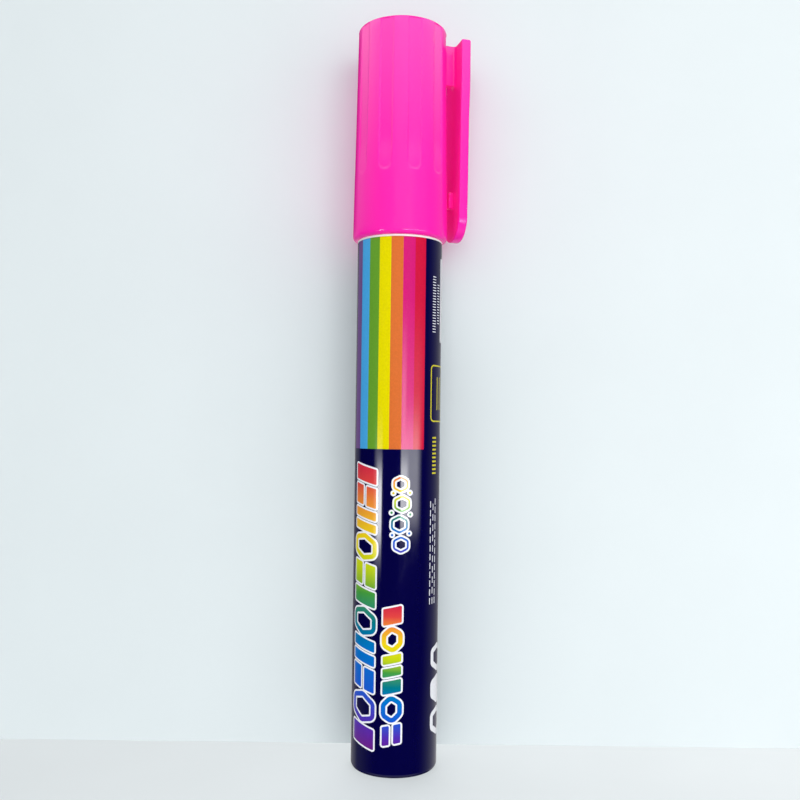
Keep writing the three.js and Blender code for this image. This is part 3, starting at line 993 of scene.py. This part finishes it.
def spring_wire():
    """The valve spring: a round wire section carried along a helix, its section square to it."""
    wire = 0.3
    coil = spring_high[1] - wire
    turns, steps, sides = 8, 32, 12
    share = np.linspace(0, 1, turns * steps + 1)
    turn = 2 * np.pi * turns * share
    low, rise = spring_low[2] + wire, spring_high[2] - spring_low[2] - 2 * wire
    centre = np.stack([coil * np.cos(turn), coil * np.sin(turn), low + rise * share], -1)
    climb = math.atan2(rise, 2 * math.pi * coil * turns)
    outward = np.stack([np.cos(turn), np.sin(turn), 0 * turn], -1)
    upward = np.stack([np.sin(turn) * math.sin(climb), -np.cos(turn) * math.sin(climb)], -1)
    upward = np.concatenate([upward, np.full((len(turn), 1), math.cos(climb))], 1)
    around = np.arange(sides) * 2 * np.pi / sides
    ring = outward[:, None] * np.cos(around)[:, None] + upward[:, None] * np.sin(around)[:, None]
    caps = [np.repeat(centre[i][None, None], sides, 1) for i in (0, -1)]
    return tube(np.concatenate([caps[0], centre[:, None] + wire * ring, caps[1]]))


def valve_stem():
    """The plunger: guide pin, poppet, shaft and the head that the nib pushes."""
    poppet, shaft, head, guide = stem_high[1], 1.1, 2.8, 1.6
    bottom, top = stem_low[2], stem_high[2]
    poppet_low = bottom + 7.0
    return turned(
        [
            (0, bottom, 0),
            (guide, bottom, 0.3),
            (guide, poppet_low, 0.15),
            (poppet, poppet_low, 0.15),
            (poppet, poppet_low + 1.5, 0.15),
            (shaft, poppet_low + 1.5, 0.15),
            (shaft, top - 1.1, 0.15),
            (head, top - 1.1, 0.15),
            (head, top, 0.15),
            (0, top, 0),
        ]
    )


def sphere(centre, radius, steps=48):
    """A ball: its outline is a half circle from pole to pole."""
    turn = np.linspace(-np.pi / 2, np.pi / 2, steps)
    outline = [(max(radius * math.cos(a), 0.0), centre + radius * math.sin(a), 0) for a in turn]
    outline[0] = (0, centre - radius, 0)
    outline[-1] = (0, centre + radius, 0)
    return turned(outline, 96)


def ring(inner, outer, low, high, edge):
    """A plain ring with rounded edges."""
    section = [(inner, low), (outer, low), (outer, high), (inner, high)]
    return turned([(*corner, edge) for corner in section])


seal_wire = (seal_high[2] - seal_low[2]) / 2
seal_bore = seal_high[1] - 2 * seal_wire
ball_radius = (ball_high[2] - ball_low[2]) / 2
guide_ribs = ribs_round(
    6, nib_radius + 0.1, nib_radius + 0.7, 0.6, front_high[2] - 12.0, front_high[2] - 0.4
)
washer = ring(1.8, seat_high[1], seat_low[2], seat_high[2], 0.15)
band = ring(seal_bore, seal_high[1], seal_low[2], seal_high[2], seal_wire * 0.98)
ball = sphere(ball_low[2] + ball_radius, ball_radius)
fittings = [
    ("front_body", front_body(), white_plastic, "pen_body", "white_plastic", "front_section"),
    ("nib_guide_ribs", guide_ribs, white_plastic, "pen_body", "white_plastic"),
    ("nib_rod", nib_rod(), nib_fibre, "nib", "nib_fibre", "nib"),
    ("valve_plunger", valve_stem(), white_plastic, "valve_stem", "white_plastic", "valve_stem"),
    ("seat_washer", washer, dark_rubber, "pen_body", "dark_rubber", "valve_seat"),
    ("seal_band", band, dark_rubber, "pen_body", "dark_rubber", "seal_ring"),
    ("stirring_ball", ball, bright_steel, "mixing_ball", "steel", "mixing_ball"),
    ("spring_coil", spring_wire(), bright_steel, "pen_body", "steel", "valve_spring"),
]
for name, shape, finish, body, slot, *replaced in fittings:
    fitting = make_piece(name, shape, [finish], body, replaced)

# The last fitting is the spring, which shortens as the nib is pressed
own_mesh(fitting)

# The valve's housing is the CAD's own solid, in white
housing_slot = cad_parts["valve_housing"].material_slots[0]
housing_slot.link = "OBJECT"
housing_slot.material = white_plastic


# Camera

focal_length = 40.63
camera_distance = 170.77
camera_height = 62.38
camera_pitch = 0.0320
camera_yaw = -0.0022
camera_roll = 0.0128


def place_camera():
    """The camera at the photograph's viewing angle: turned about the pen, pitched and rolled."""
    azimuth = math.radians(view_azimuth)
    place = Vector((math.sin(azimuth), -math.cos(azimuth), 0)) * camera_distance
    place.z = camera_height
    level = azimuth + camera_yaw
    right = Vector((math.cos(level), math.sin(level), 0))
    ahead = Vector((-math.sin(level), math.cos(level), 0))
    up = Vector((0, 0, 1))
    forward = ahead * math.cos(camera_pitch) + up * math.sin(camera_pitch)
    above = up * math.cos(camera_pitch) - ahead * math.sin(camera_pitch)
    side = right * math.cos(camera_roll) + above * math.sin(camera_roll)
    top = above * math.cos(camera_roll) - right * math.sin(camera_roll)
    data = bpy.data.cameras.new("camera")
    data.sensor_width = 36.0
    data.lens = focal_length
    data.clip_start = 0.01
    data.clip_end = 20.0
    camera = placed("camera", data)
    axes = Matrix((side, top, -forward)).transposed().to_4x4()
    camera.matrix_world = Matrix.Translation(place * MM) @ axes
    bpy.context.scene.camera = camera


place_camera()


# Floor, wall, world and lights

wall_distance = 10.4
lamp_distance = 700
pen_middle = Vector((0, 0, 0.069))
fade_start = 190.0
fade_end = 420.0
pale_background = (231, 237, 240)


def towards(azimuth, elevation, distance):
    """A point in metres seen from the pen's middle, with azimuth counted from the camera to the
    right, elevation above the horizon, and distance in millimetres."""
    turn = math.radians(label_middle + azimuth)
    rise = math.radians(elevation)
    flat = Vector((math.cos(turn), math.sin(turn), 0)) * math.cos(rise)
    return (flat + Vector((0, 0, math.sin(rise)))) * distance * MM + pen_middle


def pale_surface(name, dim, bright, direction, low, high, shine=0.0):
    """Matt pale board that grows evenly lighter along a direction, from one place to another, with
    a faint unevenness. This rise is painted light: the board is made lighter where the lamps light
    it more strongly. A share of its light is its own, which softens the pen's shadow on it. It
    fades into the even background far from the pen: clear share = eased((distance - start) /
    width). It can't be seen from behind."""
    skin = Finish(name, Roughness=0.85)
    along = skin.add("ShaderNodeVectorMath", {0: skin.place, 1: direction}, operation="DOT_PRODUCT")
    # Painted light: lighter towards the side that the lamps light more strongly.
    painted_light_share = skin.spread(along.outputs["Value"], 0.0, 1.0, low * MM, high * MM)
    even = skin.blend(painted_light_share, linear(*dim), linear(*bright))
    mottle = skin.spread(skin.noise(30.0, detail=3.0), 0.0, 0.03)
    uneven = skin.blend(mottle, even, linear(120, 124, 126))
    skin.join(skin.blend(shine, uneven, linear(0, 0, 0)), "Base Color")
    skin.join(uneven, "Emission Color")
    skin.shader.inputs["Emission Strength"].default_value = shine
    geometry = skin.add("ShaderNodeNewGeometry")
    place = {0: geometry.outputs["Position"]}
    distance = skin.add("ShaderNodeVectorMath", place, operation="LENGTH").outputs["Value"]
    ends = {"Value": distance, "From Min": fade_start * MM, "From Max": fade_end * MM}
    faded = skin.add("ShaderNodeMapRange", ends, interpolation_type="SMOOTHSTEP").outputs[0]
    sockets = {0: faded, 1: geometry.outputs["Backfacing"]}
    share = skin.add("ShaderNodeMath", sockets, operation="MAXIMUM").outputs[0]
    clear = skin.add("ShaderNodeBsdfTransparent").outputs[0]
    mixed = skin.add("ShaderNodeMixShader", {0: share, 1: skin.shader.outputs[0], 2: clear})
    skin.links.new(mixed.outputs[0], skin.nodes["Material Output"].inputs["Surface"])
    return skin.material


def flat_stage(name, corners, finish):
    """A single flat board."""
    mesh = bpy.data.meshes.new(name)
    mesh.from_pydata([tuple(c) for c in corners], [], [(0, 1, 2, 3)])
    mesh.materials.append(finish)
    board = placed(name, mesh)
    return board


def stage_boards():
    """A pale floor, and a pale wall just behind the pen, square to the camera's view. Neither is
    seen in the pen's gloss, and the wall only takes the pen's shadow and casts none."""
    reach = 1.5
    corners = [(x * reach, y * reach, 0) for x, y in ((-1, -1), (1, -1), (1, 1), (-1, 1))]
    # Painted light: the floor is made lighter towards the right, the side the key lamp lights more.
    paper = pale_surface(
        "floor_board", (212, 218, 220), (236, 242, 244), (1, 0, 0), -85, 85, shine=0.55
    )
    floor = flat_stage("floor", corners, paper)
    floor.visible_glossy = False
    azimuth = math.radians(view_azimuth)
    right = Vector((math.cos(azimuth), math.sin(azimuth), 0))
    ahead = Vector((-math.sin(azimuth), math.cos(azimuth), 0))
    left_foot, right_foot = [ahead * wall_distance * MM + right * x for x in (-0.5, 0.5)]
    up = Vector((0, 0, 0.6))
    # Painted light: the wall is made lighter towards its lower right.
    paper = pale_surface("wall_board", (208, 215, 217), (220, 227, 229), (0.82, 0, -0.57), -140, 60)
    wall = flat_stage("wall", [left_foot, right_foot, right_foot + up, left_foot + up], paper)
    wall.visible_diffuse = wall.visible_glossy = wall.visible_shadow = False


def area_light(name, place, size, power):
    """A soft lamp that faces the pen's middle. The pen's gloss shows the studio glow instead."""
    data = bpy.data.lights.new(name, "AREA")
    data.shape = "RECTANGLE"
    data.size, data.size_y = size
    data.energy = power
    lamp = placed(name, data)
    lamp.location = place
    lamp.rotation_mode = "QUATERNION"
    lamp.rotation_quaternion = (pen_middle - place).to_track_quat("-Z", "Y")
    lamp.visible_glossy = False


# What the gloss reflects: soft bright patches on a cylinder round the pen. Each is (middle
# azimuth from the camera, half width, middle height, half height, softness of its left, right,
# low and high side, strength), with lengths in millimetres.
glow_radius = 200.0
ceiling_strength = 2.6
glow_patches = [
    ("right window", 35, 25, 44, 19, (2, 20, 14, 28), 5.5),
    ("right strip", 15.5, 5.5, 79, 13, (2, 8, 24, 45), 2.8),
    ("right tail", 37.5, 27.5, 77.5, 17.5, (2, 30, 30, 50), 1.0),
    ("right lamp", 19, 9, 36, 13, (2, 12, 9, 8), 7.5),
    ("left window", -50, 10, 31, 20, (10, 3, 14, 40), 4.0),
    ("left lamp", -47, 7, 32, 13, (6, 3, 14, 14), 14.5),
    ("right return", 150, 45, 110, 260, (70, 20, 30, 40), 0.36),
    ("right floor return", 145, 50, -95, 55, (80, 20, 30, 30), 0.24),
    ("left side", -100, 34, 215, 75, (20, 30, 40, 60), 0.38),
    ("left return", -155, 35, 20, 120, (36, 20, 30, 20), 0.24),
    ("left floor return", -125, 50, -95, 55, (60, 60, 30, 30), 0.14),
    ("front floor return", 0, 80, -330, 210, (60, 60, 60, 50), 0.45),
    ("back wall", 180, 50, 410, 170, (30, 30, 24, 60), 0.8),
]


def studio_glow():
    """The glow cylinder: its strength at an azimuth and height is the sum of the patches, each
    the product of four eased sides, and of a ceiling glow in front that grows with height and
    falls again over the pen."""
    around = np.radians(np.arange(720) / 2.0)
    spans = [(-600, -130, 36), (-120, 150, 136), (160, 900, 38)]
    heights = np.concatenate([np.linspace(*span) for span in spans])
    turn, height = np.meshgrid(around, heights)
    azimuth = (np.degrees(turn) - label_middle + 180) % 360 - 180
    in_front = eased((130 - np.abs(azimuth)) / 30)
    overhead = 1 - 0.35 * eased((height - 245) / 70)
    strength = ceiling_strength * eased((height - 167) / 95) * in_front * overhead
    for _, middle, half_width, level, half_height, softness, power in glow_patches:
        across = (azimuth - middle + 180) % 360 - 180
        up = height - level
        reaches = [half_width + across, half_width - across, half_height + up, half_height - up]
        sides = [eased(reach / soft + 0.5) for reach, soft in zip(reaches, softness)]
        strength = strength + power * np.prod(sides, 0)
    points, quads = tube(round_axis(glow_radius, height, turn))
    skin = Finish("studio_glow")
    level = skin.add("ShaderNodeAttribute", attribute_name="glow").outputs["Fac"]
    light = skin.add("ShaderNodeEmission", {"Color": (1, 1, 1, 1), "Strength": level})
    clear = skin.add("ShaderNodeBsdfTransparent")
    both = skin.add("ShaderNodeAddShader", {0: light.outputs[0], 1: clear.outputs[0]})
    skin.links.new(both.outputs[0], skin.nodes["Material Output"].inputs["Surface"])
    mesh = bpy.data.meshes.new("studio_glow")
    mesh.from_pydata((points * MM).tolist(), [], quads.tolist())
    mesh.attributes.new("glow", "FLOAT", "POINT").data.foreach_set("value", strength.reshape(-1))
    mesh.materials.append(skin.material)
    glow = placed("studio_glow", mesh)
    glow.visible_camera = glow.visible_diffuse = glow.visible_shadow = False
    glow.visible_transmission = glow.visible_volume_scatter = False


def world_light():
    """Even pale light all round, and the pale background where the camera looks past the boards.
    The pen's gloss doesn't show it: there the studio glow stands for the room and the lamps."""
    world = bpy.data.worlds.new("studio")
    bpy.context.scene.world = world
    world.use_nodes = True
    nodes, links = world.node_tree.nodes, world.node_tree.links
    world.cycles_visibility.glossy = False
    ambient = nodes["Background"]
    ambient.inputs["Color"].default_value = (0.95, 0.99, 1.0, 1.0)
    ambient.inputs["Strength"].default_value = 0.5
    seen = nodes.new("ShaderNodeBackground")
    seen.inputs["Color"].default_value = linear(*pale_background)
    path = nodes.new("ShaderNodeLightPath")
    mix = nodes.new("ShaderNodeMixShader")
    links.new(path.outputs["Is Camera Ray"], mix.inputs[0])
    links.new(ambient.outputs[0], mix.inputs[1])
    links.new(seen.outputs[0], mix.inputs[2])
    links.new(mix.outputs[0], nodes["World Output"].inputs["Surface"])


stage_boards()
world_light()
studio_glow()
lamps = [
    ("front_lamp", 8, 14, (0.6, 0.5), 2.4),
    ("key_lamp", 42, 2, (0.6, 0.6), 1.45),
    ("fill_lamp", -42, 22, (0.6, 0.6), 0.75),
    ("back_lamp", 175, 40, (0.6, 0.4), 2.4),
    ("back_side_lamp", -120, 20, (0.4, 0.4), 1.0),
]
for name, azimuth, elevation, size, power in lamps:
    area_light(name, towards(azimuth, elevation, lamp_distance), size, power)

bpy.context.scene.view_settings.view_transform = "Standard"
